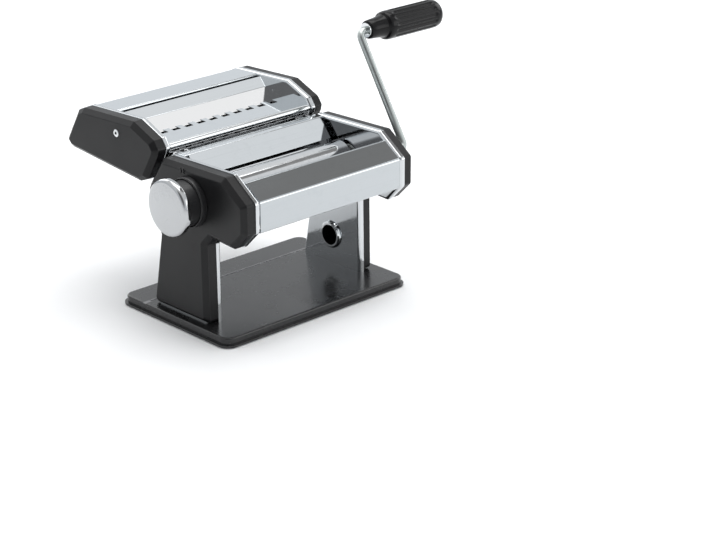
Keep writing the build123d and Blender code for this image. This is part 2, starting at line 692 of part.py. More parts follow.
DOME = (21.4 ** 2 + 1.4 ** 2) / 2.8      # radius of the slightly domed face
with BuildPart() as knob_cap:
    with BuildSketch(turned(KY, KZ)):
        with BuildLine():
            Line((-117.0, 15.0), (-117.0, 23.6))
            ThreePointArc((-117.0, 23.6), (-117.4, 24.7), (-118.5, 25.1))
            Line((-118.5, 25.1), (-120.6, 25.1))
            ThreePointArc((-120.6, 25.1), (-123.2, 24.0), (-124.3, 21.4))
            ThreePointArc((-124.3, 21.4), (-125.7 + DOME - math.sqrt(DOME ** 2 - 10.8 ** 2), 10.8), (-125.7, 0))
            Line((-125.7, 0), (-124.4, 0))
            Line((-124.4, 0), (-124.2, 9.0))
            Line((-124.2, 9.0), (-122.9, 20.6))
            Line((-122.9, 20.6), (-120.6, 23.6))
            Line((-120.6, 23.6), (-118.2, 23.6))
            Line((-118.2, 23.6), (-118.2, 15.0))
            Line((-118.2, 15.0), (-117.0, 15.0))
        make_face()
    revolve(axis=Axis((0, KY, KZ), (1, 0, 0)))
knob_cap.part.label = "knob_cap"
export_step(knob_cap.part, "parts/knob_cap.step")

# ---------------------------------------------------------------------------
# Cutter head
# ---------------------------------------------------------------------------
CUTS = (WA, WB, FA, FB)
RIVET = (79.0, 153.7)


def head_plate(s):
    tray(HEAD, s, 3.2, 2.6)
    for y in CUTS:
        disc(y, CZ, s * IN, s * (IN + PT), 5.5, Mode.SUBTRACT)
    disc(RIVET[0], RIVET[1], s * IN, s * (IN + PT), 2.0, Mode.SUBTRACT)


with BuildPart() as head_left_plate:
    head_plate(-1)
head_left_plate.part.label = "head_left_plate"
export_step(head_left_plate.part, "parts/head_left_plate.step")

with BuildPart() as head_right_plate:
    head_plate(1)
head_right_plate.part.label = "head_right_plate"
export_step(head_right_plate.part, "parts/head_right_plate.step")

with BuildPart() as head_cavity:
    bevelled(HEAD, FL, 92.2, CV - CW, 1.6, CW + EDGE, 0.6, CW + EDGE + 3.6)

with BuildPart() as head_left_cover:
    bevelled(HEAD, FL, CV - BEV, CV, 3.0, EDGE, 1.6, EDGE + BEV)
    fillet(head_left_cover.faces().sort_by(Axis.X)[-1].edges(), 1.2)
    add(head_cavity.part, mode=Mode.SUBTRACT)
    disc(RIVET[0], RIVET[1], FL, CV, 4.5)
    disc(RIVET[0], RIVET[1], FL, CV, 2.0, Mode.SUBTRACT)
    mirror(about=Plane.YZ, mode=Mode.REPLACE)
head_left_cover.part.label = "head_left_cover"
export_step(head_left_cover.part, "parts/head_left_cover.step")

with BuildPart() as head_right_cover:
    bevelled(HEAD, FL, CV - BEV, CV, 3.0, EDGE, 1.6, EDGE + BEV)
    fillet(head_right_cover.faces().sort_by(Axis.X)[-1].edges(), 1.2)
    add(head_cavity.part, mode=Mode.SUBTRACT)
    disc(RIVET[0], RIVET[1], FL, CV, 4.5)
    disc(RIVET[0], RIVET[1], FL, CV, 2.0, Mode.SUBTRACT)
    for y in (WA, FB):
        disc(y, CZ, FL, CV + 1, 6.4, Mode.SUBTRACT)
head_right_cover.part.label = "head_right_cover"
export_step(head_right_cover.part, "parts/head_right_cover.step")

# cover screws with a countersunk ring, one each side
with BuildPart() as head_screws:
    for s in (-1, 1):
        lathe([(s * IN, 0), (s * IN, 2.0), (s * CV, 2.0),
               (s * CV, 3.5), (s * (CV + 0.5), 3.4), (s * (CV + 0.9), 2.8), (s * (CV + 0.9), 1.6),
               (s * (CV + 0.5), 1.3), (s * (CV - 4.0), 1.3), (s * (CV - 4.0), 0)], RIVET[0], RIVET[1])
head_screws.part.label = "head_screws"
export_step(head_screws.part, "parts/head_screws.step")

with BuildPart() as head_rear_cover:
    sheet([(108.6, 151.2), (99.6, 165.2), (128.7, 164.0), (135.9, 160.3), (153.1, 131.4), (147.4, 125.7)],
          -IN, IN, 0.8, 1.2)
head_rear_cover.part.label = "head_rear_cover"
export_step(head_rear_cover.part, "parts/head_rear_cover.step")

with BuildPart() as head_mid_panel:
    sheet([(104.6, 149.4), (95.0, 164.2), (81.5, 158.6), (71.2, 147.0)], -IN, IN, 0.8, 1.2)
head_mid_panel.part.label = "head_mid_panel"
export_step(head_mid_panel.part, "parts/head_mid_panel.step")

with BuildPart() as head_comb:
    sheet([(34.4, 149.9), (63.9, 151.2)], -IN, IN, 0.8)
    with BuildSketch(Plane.XY.offset(149.5)):
        with Locations(*[((x + 0.5) * WP, 61.3) for x in range(-5, 5)]):
            RectangleRounded(8.0, 10.6, 0.9)
    extrude(amount=3, mode=Mode.SUBTRACT)
head_comb.part.label = "head_comb"
export_step(head_comb.part, "parts/head_comb.step")

with BuildPart() as head_front_rail:
    disc(30.8, 148.8, -IN, IN, 3.2)
    disc(30.8, 148.8, -IN, IN, 2.4, Mode.SUBTRACT)
head_front_rail.part.label = "head_front_rail"
export_step(head_front_rail.part, "parts/head_front_rail.step")

with BuildPart() as head_front_panel:
    sheet([slope(7.0, 6.4), slope(30.5, 6.4), (51.8, 117.6)], -IN, IN, 0.9, 1.5)
    for xs in (-70.0, 70.0):
        slab([slope(8.4, 1.5), slope(26.6, 1.5), slope(26.6, 3.5), slope(8.4, 3.5)], xs - 6.2, xs + 6.2)
        slab([slope(8.4, 3.5), slope(26.6, 3.5), slope(26.6, 6.0), slope(8.4, 6.0)], xs - 3.6, xs + 3.6)
head_front_panel.part.label = "head_front_panel"
export_step(head_front_panel.part, "parts/head_front_panel.step")

with BuildPart() as cutter_bushes:
    for s in (-1, 1):
        for y in CUTS:
            lathe([(s * 78.4, CJ + CL), (s * 78.4, 6.6), (s * IN, 6.6), (s * IN, 5.5), (s * (IN + PT), 5.5),
                   (s * (IN + PT), CJ + CL)], y, CZ)
cutter_bushes.part.label = "cutter_bushes"
export_step(cutter_bushes.part, "parts/cutter_bushes.step")


def socket_end(y):
    """Crank socket on the end of a driven cutter."""
    disc(y, CZ, 88.0, CV + 0.4, 6.0)
    with BuildSketch(Plane.YZ.offset(84.0)) as sk:
        with Locations((y, CZ)):
            Circle(ROD + CL)
        with Locations((y, CZ + ROD + CL - 0.4 + 0.8)):
            Rectangle(8, 1.6, mode=Mode.SUBTRACT)
    extrude(sk.sketch, amount=16, mode=Mode.SUBTRACT)


with BuildPart() as wide_cutter_front:
    lathe(ring_profile([WP * k for k in range(-5, 6)], WD, CR, 6.5, -77.0, 77.0), WA, CZ)
    disc(WA, CZ, -83.0, 84.0, CJ)
    disc(WA, CZ, 84.0, 88.0, 6.0)
    socket_end(WA)
wide_cutter_front.part.label = "wide_cutter_front"
export_step(wide_cutter_front.part, "parts/wide_cutter_front.step")

with BuildPart() as wide_cutter_rear:
    lathe(ring_profile([WP * k + WP / 2 for k in range(-5, 5)], WD, CR, 6.5, -77.0, 77.0), WB, CZ)
    disc(WB, CZ, -83.0, 87.6, CJ)
wide_cutter_rear.part.label = "wide_cutter_rear"
export_step(wide_cutter_rear.part, "parts/wide_cutter_rear.step")

with BuildPart() as fine_cutter_front:
    lathe(ring_profile([FP * k for k in range(-18, 19)], FD, CR, 8.2, -77.0, 77.0), FA, CZ)
    disc(FA, CZ, -83.0, 93.6, CJ)
fine_cutter_front.part.label = "fine_cutter_front"
export_step(fine_cutter_front.part, "parts/fine_cutter_front.step")

with BuildPart() as fine_cutter_rear:
    lathe(ring_profile([FP * k + FP / 2 for k in range(-18, 18)], FD, CR, 8.2, -77.0, 77.0), FB, CZ)
    disc(FB, CZ, -83.0, 84.0, CJ)
    disc(FB, CZ, 84.0, 88.0, 6.0)
    socket_end(FB)
fine_cutter_rear.part.label = "fine_cutter_rear"
export_step(fine_cutter_rear.part, "parts/fine_cutter_rear.step")

ZC = 12
CP = CS / 2 - 0.04
with BuildPart() as wide_gear_front:
    slab(shift(spur(ZC, CP, CP + 1.25, CP - 1.75, 25, 0.22, 0), WA, CZ), 84.2, 87.6)
    disc(WA, CZ, 84.2, 87.6, 6.0, Mode.SUBTRACT)
wide_gear_front.part.label = "wide_gear_front"
export_step(wide_gear_front.part, "parts/wide_gear_front.step")

with BuildPart() as wide_gear_rear:
    slab(shift(spur(ZC, CP, CP + 1.25, CP - 1.75, 25, 0.22, 180 + 180.0 / ZC), WB, CZ), 84.2, 87.6)
    disc(WB, CZ, 84.2, 87.6, CJ, Mode.SUBTRACT)
wide_gear_rear.part.label = "wide_gear_rear"
export_step(wide_gear_rear.part, "parts/wide_gear_rear.step")

with BuildPart() as fine_gear_front:
    slab(shift(spur(ZC, CP, CP + 1.25, CP - 1.75, 25, 0.22, 0), FA, CZ), 89.0, 93.0)
    disc(FA, CZ, 89.0, 93.0, CJ, Mode.SUBTRACT)
fine_gear_front.part.label = "fine_gear_front"
export_step(fine_gear_front.part, "parts/fine_gear_front.step")

with BuildPart() as fine_gear_rear:
    slab(shift(spur(ZC, CP, CP + 1.25, CP - 1.75, 25, 0.22, 180 + 180.0 / ZC), FB, CZ), 89.0, 93.0)
    disc(FB, CZ, 89.0, 93.0, 6.0, Mode.SUBTRACT)
fine_gear_rear.part.label = "fine_gear_rear"
export_step(fine_gear_rear.part, "parts/fine_gear_rear.step")
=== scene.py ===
import math

import bpy
import bmesh
from mathutils import Matrix, Vector


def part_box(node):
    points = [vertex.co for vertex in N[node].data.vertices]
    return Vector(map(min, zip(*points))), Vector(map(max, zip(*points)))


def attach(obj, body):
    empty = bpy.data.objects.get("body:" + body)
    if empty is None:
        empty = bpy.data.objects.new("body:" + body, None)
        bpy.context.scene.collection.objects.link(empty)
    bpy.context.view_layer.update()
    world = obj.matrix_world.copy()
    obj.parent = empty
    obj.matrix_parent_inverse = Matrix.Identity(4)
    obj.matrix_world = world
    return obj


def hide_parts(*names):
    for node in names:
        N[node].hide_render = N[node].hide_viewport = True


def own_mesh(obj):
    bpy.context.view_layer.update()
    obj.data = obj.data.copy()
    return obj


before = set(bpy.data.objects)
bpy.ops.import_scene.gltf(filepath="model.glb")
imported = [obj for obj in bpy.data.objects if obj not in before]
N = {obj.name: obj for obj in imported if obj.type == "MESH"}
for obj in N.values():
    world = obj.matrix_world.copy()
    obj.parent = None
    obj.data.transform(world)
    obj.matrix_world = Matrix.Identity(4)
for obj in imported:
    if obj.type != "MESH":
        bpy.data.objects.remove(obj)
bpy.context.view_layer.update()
scene = bpy.context.scene


# ---------------------------------------------------------------------------
# Materials. Object coordinates are the row frame in metres on every piece.
# ---------------------------------------------------------------------------
class Mat:
    """A node material around one Principled shader."""

    def __init__(self, name, color, metallic=0.0, rough=0.4, ior=1.45, coat=0.0, coat_rough=0.1,
                 aniso=0.0, spec=0.5):
        self.m = bpy.data.materials.new(name)
        self.m.use_nodes = True
        self.t = self.m.node_tree
        self.n = self.t.nodes
        self.bsdf = self.n["Principled BSDF"]
        s = self.bsdf.inputs
        s["Base Color"].default_value = (*color, 1)
        s["Metallic"].default_value = metallic
        s["Roughness"].default_value = rough
        s["IOR"].default_value = ior
        s["Coat Weight"].default_value = coat
        s["Coat Roughness"].default_value = coat_rough
        s["Anisotropic"].default_value = aniso
        s["Specular IOR Level"].default_value = spec
        self.coord = self.n.new("ShaderNodeTexCoord").outputs["Object"]
        self.height = []
        self.color = color

    def link(self, a, b):
        self.t.links.new(a, b)

    def place(self, scale, rot=(0, 0, 0), loc=(0, 0, 0)):
        mp = self.n.new("ShaderNodeMapping")
        mp.inputs["Scale"].default_value = scale if hasattr(scale, "__len__") else (scale,) * 3
        mp.inputs["Rotation"].default_value = rot
        mp.inputs["Location"].default_value = loc
        self.link(self.coord, mp.inputs["Vector"])
        return mp.outputs["Vector"]

    def noise(self, scale, detail=3.0, rough=0.55, loc=(0, 0, 0), dist=0.0, rot=(0, 0, 0)):
        t = self.n.new("ShaderNodeTexNoise")
        t.inputs["Scale"].default_value = 1.0
        t.inputs["Detail"].default_value = detail
        t.inputs["Roughness"].default_value = rough
        t.inputs["Distortion"].default_value = dist
        self.link(self.place(scale, rot=rot, loc=loc), t.inputs["Vector"])
        return t.outputs["Fac"]

    def cells(self, scale, feature="F1"):
        t = self.n.new("ShaderNodeTexVoronoi")
        t.feature = feature
        t.inputs["Scale"].default_value = 1.0
        self.link(self.place(scale), t.inputs["Vector"])
        return t.outputs["Distance"]

    def span(self, v, a, b, lo, hi, smooth=True):
        r = self.n.new("ShaderNodeMapRange")
        r.interpolation_type = "SMOOTHSTEP" if smooth else "LINEAR"
        r.inputs["From Min"].default_value = a
        r.inputs["From Max"].default_value = b
        r.inputs["To Min"].default_value = lo
        r.inputs["To Max"].default_value = hi
        self.link(v, r.inputs["Value"])
        return r.outputs["Result"]

    def math(self, op, a, b):
        m = self.n.new("ShaderNodeMath")
        m.operation = op
        for i, v in enumerate((a, b)):
            if isinstance(v, (int, float)):
                m.inputs[i].default_value = v
            else:
                self.link(v, m.inputs[i])
        return m.outputs[0]

    def mix(self, fac, a, b):
        x = self.n.new("ShaderNodeMix")
        x.data_type = "RGBA"
        x.clamp_factor = True
        self.link(fac, x.inputs["Factor"])
        for key, v in ((6, a), (7, b)):
            if isinstance(v, tuple):
                x.inputs[key].default_value = (*v, 1)
            else:
                self.link(v, x.inputs[key])
        return x.outputs[2]

    def edges(self, radius):
        """0 on open faces, towards 1 along edges of that radius."""
        b = self.n.new("ShaderNodeBevel")
        b.samples = 4
        b.inputs["Radius"].default_value = radius
        g = self.n.new("ShaderNodeNewGeometry")
        d = self.n.new("ShaderNodeVectorMath")
        d.operation = "DOT_PRODUCT"
        self.link(b.outputs["Normal"], d.inputs[0])
        self.link(g.outputs["Normal"], d.inputs[1])
        return self.span(d.outputs["Value"], 0.985, 0.80, 0.0, 1.0)

    def rough(self, v):
        self.link(v, self.bsdf.inputs["Roughness"])

    def base(self, v):
        self.link(v, self.bsdf.inputs["Base Color"])

    def bump(self, v, strength, distance):
        b = self.n.new("ShaderNodeBump")
        b.inputs["Strength"].default_value = strength
        b.inputs["Distance"].default_value = distance
        self.link(v, b.inputs["Height"])
        if self.height:
            self.link(self.height[-1], b.inputs["Normal"])
        self.height.append(b.outputs["Normal"])
        self.link(b.outputs["Normal"], self.bsdf.inputs["Normal"])


def scaled(c, k):
    return tuple(min(1.0, max(0.0, v * k)) for v in c)


def make_chrome(name, color, rough, streak_axis="X", streak=0.12, smudge=0.05, wave=0.05):
    """Plated sheet: faint rolling lines, polished patches, light smudges and a slightly wavy surface."""
    m = Mat(name, color, metallic=1.0, rough=rough)
    along = {"X": (5, 900, 900), "Z": (900, 900, 5), "Y": (900, 5, 900)}[streak_axis]
    lines = m.noise(along, detail=2.0)
    patches = m.noise(26, detail=4.0, dist=0.4)
    prints = m.noise(85, detail=6.0, rough=0.7, loc=(3, 1, 2))
    r = m.math("ADD", m.span(patches, 0.35, 0.75, rough * 0.7, rough * 1.45),
               m.span(prints, 0.56, 0.78, 0.0, smudge))
    r = m.math("ADD", r, m.span(lines, 0.5, 0.8, 0.0, rough * 0.35))
    m.rough(r)
    tone = m.mix(m.span(prints, 0.5, 0.8, 0.0, 0.6), color, scaled(color, 0.90))
    m.base(m.mix(m.span(lines, 0.45, 0.75, 0.0, 0.5), tone, scaled(color, 0.94)))
    m.bump(m.noise(9, detail=1.0), wave, 0.0006)
    m.bump(lines, streak, 0.00002)
    return m.m


def make_turned(name, color, rough, plane="YZ", strength=0.2):
    """Turned or ground round metal: fine rings about X, with lengthwise variation."""
    m = Mat(name, color, metallic=1.0, rough=rough, aniso=0.35)
    rings = m.noise((1500, 12, 12), detail=2.0)
    patches = m.noise(40, detail=4.0)
    m.rough(m.math("ADD", m.span(patches, 0.3, 0.75, rough * 0.75, rough * 1.4),
                   m.span(rings, 0.45, 0.8, 0.0, rough * 0.5)))
    m.base(m.mix(m.span(rings, 0.4, 0.75, 0.0, 0.6), color, scaled(color, 0.88)))
    m.bump(rings, strength, 0.00002)
    return m.m


def make_black(name, color, rough, grain=1400.0, grain_strength=0.12, coat=0.0, dust=0.0, edge=0.0,
               peel=0.0, spec=0.5):
    """Moulded or enamelled black: fine grain, uneven gloss, light dust and rubbed edges."""
    m = Mat(name, color, rough=rough, coat=coat, coat_rough=0.12, spec=spec)
    fine = m.noise(grain, detail=2.0)
    cloud = m.noise(22, detail=4.0, dist=0.3)
    hand = m.noise(60, detail=6.0, rough=0.65, loc=(5, 2, 7))
    m.rough(m.math("ADD", m.span(cloud, 0.3, 0.75, rough * 0.86, rough * 1.14),
                   m.span(hand, 0.55, 0.8, 0.0, rough * 0.25)))
    tone = m.mix(m.span(cloud, 0.3, 0.8, 0.0, 1.0), color, scaled(color, 1.25))
    specks = m.span(m.cells(420.0), 0.0, 0.10, 1.0, 0.0)
    tone = m.mix(m.math("MULTIPLY", specks, dust), tone, (0.22, 0.22, 0.21))
    if edge:
        rub = m.math("MULTIPLY", m.edges(0.0009), m.span(hand, 0.35, 0.7, 0.2, edge))
        tone = m.mix(rub, tone, (0.16, 0.16, 0.165))
    m.base(tone)
    if peel:
        m.bump(m.noise(420, detail=1.0), peel, 0.00006)
    m.bump(fine, grain_strength, 0.00003)
    return m.m


CHROME = (0.615, 0.645, 0.665)
M = {
    "sheet": make_chrome("sheet_chrome", (0.68, 0.71, 0.73), 0.070),
    "frame": make_chrome("frame_chrome", (0.60, 0.62, 0.635), 0.085, streak_axis="Z", smudge=0.04, wave=0.04),
    "hood": make_chrome("hood_chrome", (0.495, 0.52, 0.537), 0.062, smudge=0.04, wave=0.035),
    "trim": make_chrome("trim_chrome", (0.70, 0.72, 0.73), 0.055, smudge=0.03, wave=0.02),
    "roller": make_turned("roller_chrome", (0.64, 0.655, 0.67), 0.085),
    "cutter": make_turned("cutter_steel", (0.34, 0.345, 0.35), 0.24, strength=0.1),
    "crank": make_chrome("crank_nickel", (0.42, 0.45, 0.44), 0.33, streak_axis="Z", smudge=0.08, wave=0.03),
    "zinc": make_chrome("zinc_plate", (0.42, 0.43, 0.45), 0.28, smudge=0.10, streak=0.2),
    "steel": make_turned("machined_steel", (0.46, 0.46, 0.47), 0.28, strength=0.25),
    "spring": make_turned("spring_wire", (0.5, 0.5, 0.52), 0.25),
    "cover": make_black("satin_cover", (0.0070, 0.0070, 0.0076), 0.40, grain=1500, grain_strength=0.16,
                        dust=0.08, edge=0.35, spec=0.32),
    "base": make_black("base_enamel", (0.0105, 0.0105, 0.0112), 0.27, grain=1800, grain_strength=0.05,
                       coat=0.25, dust=0.14, edge=0.3, peel=0.12),
    "grip": make_black("grip_gloss", (0.0045, 0.0045, 0.005), 0.17, grain=1600, grain_strength=0.04,
                       dust=0.04, edge=0.15, spec=0.22),
    "knobblack": make_black("knob_black", (0.015, 0.015, 0.016), 0.34, grain=1500, grain_strength=0.10,
                            dust=0.06, edge=0.3),
    "rubber": make_black("foot_rubber", (0.02, 0.02, 0.02), 0.75, grain=900, grain_strength=0.5, dust=0.3),
}


def make_cap():
    """Satin chromed knob face: fine circular polishing about the knob's axis."""
    m = Mat("knob_satin", (0.60, 0.61, 0.625), metallic=1.0, rough=0.24, aniso=0.3)
    lo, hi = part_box("knob_cap")
    c = (lo + hi) / 2
    sep = m.n.new("ShaderNodeSeparateXYZ")
    m.link(m.coord, sep.inputs[0])
    y = m.math("SUBTRACT", sep.outputs[1], float(c.y))
    z = m.math("SUBTRACT", sep.outputs[2], float(c.z))
    rad = m.math("SQRT", m.math("ADD", m.math("MULTIPLY", y, y), m.math("MULTIPLY", z, z)), 0.0)
    ringv = m.n.new("ShaderNodeCombineXYZ")
    m.link(m.math("MULTIPLY", rad, 2600.0), ringv.inputs[0])
    t = m.n.new("ShaderNodeTexNoise")
    t.inputs["Scale"].default_value = 1.0
    t.inputs["Detail"].default_value = 3.0
    m.link(ringv.outputs[0], t.inputs["Vector"])
    rings = t.outputs["Fac"]
    cloud = m.noise(45, detail=5.0)
    face = m.math("ADD", m.span(cloud, 0.3, 0.75, 0.19, 0.30), m.span(rings, 0.4, 0.8, 0.0, 0.06))
    # the rounded shoulder is polished brighter than the face
    shoulder = m.span(rad, 0.0206, 0.0216, 1.0, 0.0)
    m.rough(m.math("ADD", m.math("MULTIPLY", face, shoulder), m.span(rad, 0.0206, 0.0216, 0.0, 0.07)))
    m.base(m.mix(m.span(rings, 0.4, 0.75, 0.0, 0.5), (0.49, 0.50, 0.51), (0.43, 0.44, 0.45)))
    m.bump(rings, 0.06, 0.00002)
    return m.m


def paint_crease_highlight(m, y, z, color):
    """Painted highlight: a bright line along the base's pressed crease, standing in for the light that the raised
    rib catches.
    """
    sep = m.nodes.new("ShaderNodeSeparateXYZ")
    coord = m.nodes["Texture Coordinate"].outputs["Object"]
    m.links.new(coord, sep.inputs[0])
    bsdf = m.nodes["Principled BSDF"]

    def node(op, a, b):
        x = m.nodes.new("ShaderNodeMath")
        x.operation = op
        for i, v in enumerate((a, b)):
            if isinstance(v, (int, float)):
                x.inputs[i].default_value = v
            else:
                m.links.new(v, x.inputs[i])
        return x.outputs[0]

    dy = node("ABSOLUTE", node("SUBTRACT", sep.outputs[1], y), 0.0)
    r = m.nodes.new("ShaderNodeMapRange")
    r.interpolation_type = "SMOOTHSTEP"
    r.inputs["From Min"].default_value = 0.0026
    r.inputs["From Max"].default_value = 0.0010
    m.links.new(dy, r.inputs["Value"])
    fac = node("MULTIPLY", r.outputs["Result"], node("GREATER_THAN", sep.outputs[2], z))
    grain = m.nodes.new("ShaderNodeTexNoise")
    grain.inputs["Scale"].default_value = 240.0
    m.links.new(coord, grain.inputs["Vector"])
    fac = node("MULTIPLY", fac, node("ADD", grain.outputs["Fac"], 0.25))
    # mix the painted highlight colour into the band on top of the crease
    x = m.nodes.new("ShaderNodeMix")
    x.data_type = "RGBA"
    m.links.new(fac, x.inputs["Factor"])
    m.links.new(bsdf.inputs["Base Color"].links[0].from_socket, x.inputs[6])
    x.inputs[7].default_value = (*color, 1)
    m.links.new(x.outputs[2], bsdf.inputs["Base Color"])


def make_nylon():
    m = Mat("bush_acetal", (0.82, 0.81, 0.77), rough=0.42)
    cloud = m.noise(120, detail=4.0)
    m.rough(m.span(cloud, 0.3, 0.75, 0.36, 0.50))
    m.base(m.mix(m.span(cloud, 0.4, 0.8, 0.0, 0.6), (0.83, 0.82, 0.78), (0.70, 0.68, 0.62)))
    m.bump(m.noise(1500, detail=2.0), 0.1, 0.00003)
    return m.m


def make_chute():
    """Mid panel of the head: plated top strip; below its crease the colour is raised to near white, a painted
    highlight standing in for a bright reflection.
    """
    m = Mat("chute_painted_highlight", (0.95, 0.955, 0.96), metallic=1.0, rough=0.07)
    sep = m.n.new("ShaderNodeSeparateXYZ")
    m.link(m.coord, sep.inputs[0])
    low = m.span(sep.outputs[2], 0.1583, 0.1589, 1.0, 0.0)
    lines = m.noise((5, 900, 900), detail=2.0)
    prints = m.noise(85, detail=6.0, rough=0.7, loc=(3, 1, 2))
    m.rough(m.math("ADD", m.span(prints, 0.5, 0.8, 0.05, 0.11), m.span(lines, 0.5, 0.8, 0.0, 0.02)))
    plate = (0.68, 0.71, 0.73)
    top = m.mix(m.span(lines, 0.45, 0.75, 0.0, 0.5), plate, scaled(plate, 0.94))
    # painted highlight: near-white colour on the chute below the crease
    m.base(m.mix(low, top, (0.90, 0.90, 0.90)))
    m.bump(m.noise(9, detail=1.0), 0.05, 0.0006)
    m.bump(lines, 0.12, 0.00002)
    return m.m


# painted highlight: lighter colour in a narrow band along the base's crease rib
paint_crease_highlight(M["base"].node_tree, 0.041, 0.0084, (0.30, 0.30, 0.31))
M["cap"] = make_cap()
M["chute"] = make_chute()
M["satin"] = make_chrome("satin_sheet", (0.33, 0.34, 0.35), 0.24, smudge=0.05, wave=0.02)
M["nylon"] = make_nylon()

LOOK = {
    "sheet": ["guide_plate", "head_rear_cover", "head_comb"],
    "chute": ["head_mid_panel"],
    "satin": ["rear_panel", "head_front_panel", "head_rails"],
    "hood": ["front_hood"],
    "frame": ["left_side_plate", "right_side_plate", "head_left_plate", "head_right_plate"],
    "trim": ["clamp_eyelet", "head_front_rail", "head_screws", "crank_washer"],
    "roller": ["front_roller", "rear_roller"],
    "cutter": ["wide_cutter_front", "wide_cutter_rear", "fine_cutter_front", "fine_cutter_rear"],
    "crank": ["crank_rod"],
    "zinc": ["foot_screws", "tie_rod_nuts", "tie_rods", "carriage_left_plate", "carriage_right_plate",
             "carriage_bar", "gauge_strap", "gauge_cam", "front_scraper", "rear_scraper", "knob_retainer"],
    "steel": ["crank_socket", "drive_pinion", "roller_drive_gear", "front_sync_gear", "rear_sync_gear",
              "follower_pin", "knob_shaft", "index_pin", "wide_gear_front", "wide_gear_rear", "fine_gear_front",
              "fine_gear_rear"],
    "spring": ["knob_spring"],
    "cover": ["left_cover", "right_cover", "head_left_cover", "head_right_cover"],
    "base": ["base_plate"],
    "grip": ["crank_grip"],
    "knobblack": ["knob_body", "index_collar"],
    "rubber": ["rubber_feet"],
    "cap": ["knob_cap"],
    "nylon": ["bearing_bushes", "cutter_bushes"],
}
for key, names in LOOK.items():
    for name in names:
        o = N[name]
        if not o.material_slots:
            o.data.materials.append(M[key])
        for s in o.material_slots:
            s.material = M[key]


def soften(name, width, angle=28, segments=2):
    """Rounds the sharp edges of a carried-over piece."""
    o = N[name]
    w = o.modifiers.new("weld", "WELD")
    w.merge_threshold = 0.000002
    b = o.modifiers.new("bevel", "BEVEL")
    b.width = width
    b.segments = segments
    b.limit_method = "ANGLE"
    b.angle_limit = math.radians(angle)
    b.use_clamp_overlap = True
    b.harden_normals = False
    n = o.modifiers.new("normals", "WEIGHTED_NORMAL")
    n.keep_sharp = False
    n.weight = 60


for name, width in (("left_side_plate", 0.00045), ("right_side_plate", 0.00045), ("head_left_plate", 0.00045),
                    ("head_right_plate", 0.00045), ("front_hood", 0.00018), ("guide_plate", 0.00018),
                    ("head_rear_cover", 0.00018), ("head_mid_panel", 0.00018), ("head_front_panel", 0.00018),
                    ("index_collar", 0.0005), ("knob_body", 0.0005)):
    soften(name, width)


# ---------------------------------------------------------------------------
# Fluted grip
# ---------------------------------------------------------------------------
def mesh_object(name, bm, material, smooth=True):
    bmesh.ops.recalc_face_normals(bm, faces=bm.faces)
    me = bpy.data.meshes.new(name)
    bm.to_mesh(me)
    bm.free()
    for p in me.polygons:
        p.use_smooth = smooth
    me.materials.append(material)
    o = bpy.data.objects.new(name, me)
    scene.collection.objects.link(o)
    return o


def smooth01(x):
    x = min(1.0, max(0.0, x))
    return x * x * (3 - 2 * x)


def lerp_profile(table, x):
    for (x0, r0), (x1, r1) in zip(table, table[1:]):
        if x <= x1:
            t = 0 if x1 == x0 else (x - x0) / (x1 - x0)
            return r0 + (r1 - r0) * t
    return table[-1][1]


def build_grip():
    lo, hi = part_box("crank_grip")
    cy, cz = (lo.y + hi.y) / 2, (lo.z + hi.z) / 2
    x0 = lo.x
    length = hi.x - lo.x
    R = (hi.z - lo.z) / 2
    prof = [(0.0, 0.0074), (0.0004, 0.0080), (0.0012, 0.0084), (0.0070, 0.0089), (0.0130, 0.0095), (0.0178, 0.0102),
            (0.0186, 0.0104), (0.0190, 0.0110), (0.0196, 0.0119), (0.0206, 0.0126), (0.0222, R - 0.00015),
            (0.0250, R), (length - 0.0100, R), (length - 0.0070, R * 0.985), (length - 0.0045, R * 0.93),
            (length - 0.0024, R * 0.80), (length - 0.0010, R * 0.58), (length - 0.0003, R * 0.33),
            (length - 0.00002, R * 0.10)]
    f0, f1 = 0.0255, length - 0.0098
    flutes = 14
    seg = flutes * 16
    xs = sorted(set([p[0] for p in prof] + [f0 + (f1 - f0) * i / 46 for i in range(47)]
                    + [f0 + 0.0007 * i for i in range(8)] + [f1 - 0.0007 * i for i in range(8)]))
    bm = bmesh.new()
    rings = []
    for x in xs:
        r0 = lerp_profile(prof, x)
        ring = []
        for k in range(seg):
            a = 2 * math.pi * k / seg
            ph = (a * flutes / (2 * math.pi)) % 1.0
            across = abs(ph - 0.5) * 2                 # 0 in the middle of a flute
            reach = 0.0052
            # round ends: the flute narrows over the last few millimetres
            e = min(x - f0, f1 - x) / reach
            if e <= 0:
                d = 0.0
            else:
                e = min(1.0, e)
                half = 0.66 * math.sqrt(max(0.0, 1 - (1 - e) ** 2))
                u = across / half if half > 1e-6 else 9
                d = 0.00105 * max(0.0, 1 - u * u) ** 0.8 * smooth01(e * 1.6) if u < 1 else 0.0
            r = r0 - d
            ring.append(bm.verts.new((x0 + x, cy + r * math.cos(a), cz + r * math.sin(a))))
        rings.append(ring)
    for a, b in zip(rings, rings[1:]):
        for k in range(seg):
            bm.faces.new((a[k], a[(k + 1) % seg], b[(k + 1) % seg], b[k]))
    tip = bm.verts.new((x0 + length, cy, cz))
    for k in range(seg):
        bm.faces.new((rings[-1][k], rings[-1][(k + 1) % seg], tip))
    # bore for the spindle
    bore = []
    for x in (0.0, 0.004):
        bore.append([bm.verts.new((x0 + x, cy + 0.0037 * math.cos(2 * math.pi * k / seg),
                                   cz + 0.0037 * math.sin(2 * math.pi * k / seg))) for k in range(seg)])
    for k in range(seg):
        bm.faces.new((rings[0][k], bore[0][k], bore[0][(k + 1) % seg], rings[0][(k + 1) % seg]))
        bm.faces.new((bore[0][k], bore[1][k], bore[1][(k + 1) % seg], bore[0][(k + 1) % seg]))
    bm.faces.new(bore[1])
    o = mesh_object("fluted_grip", bm, M["grip"])
    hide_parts("crank_grip")
    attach(o, "grip")
    return o


build_grip()


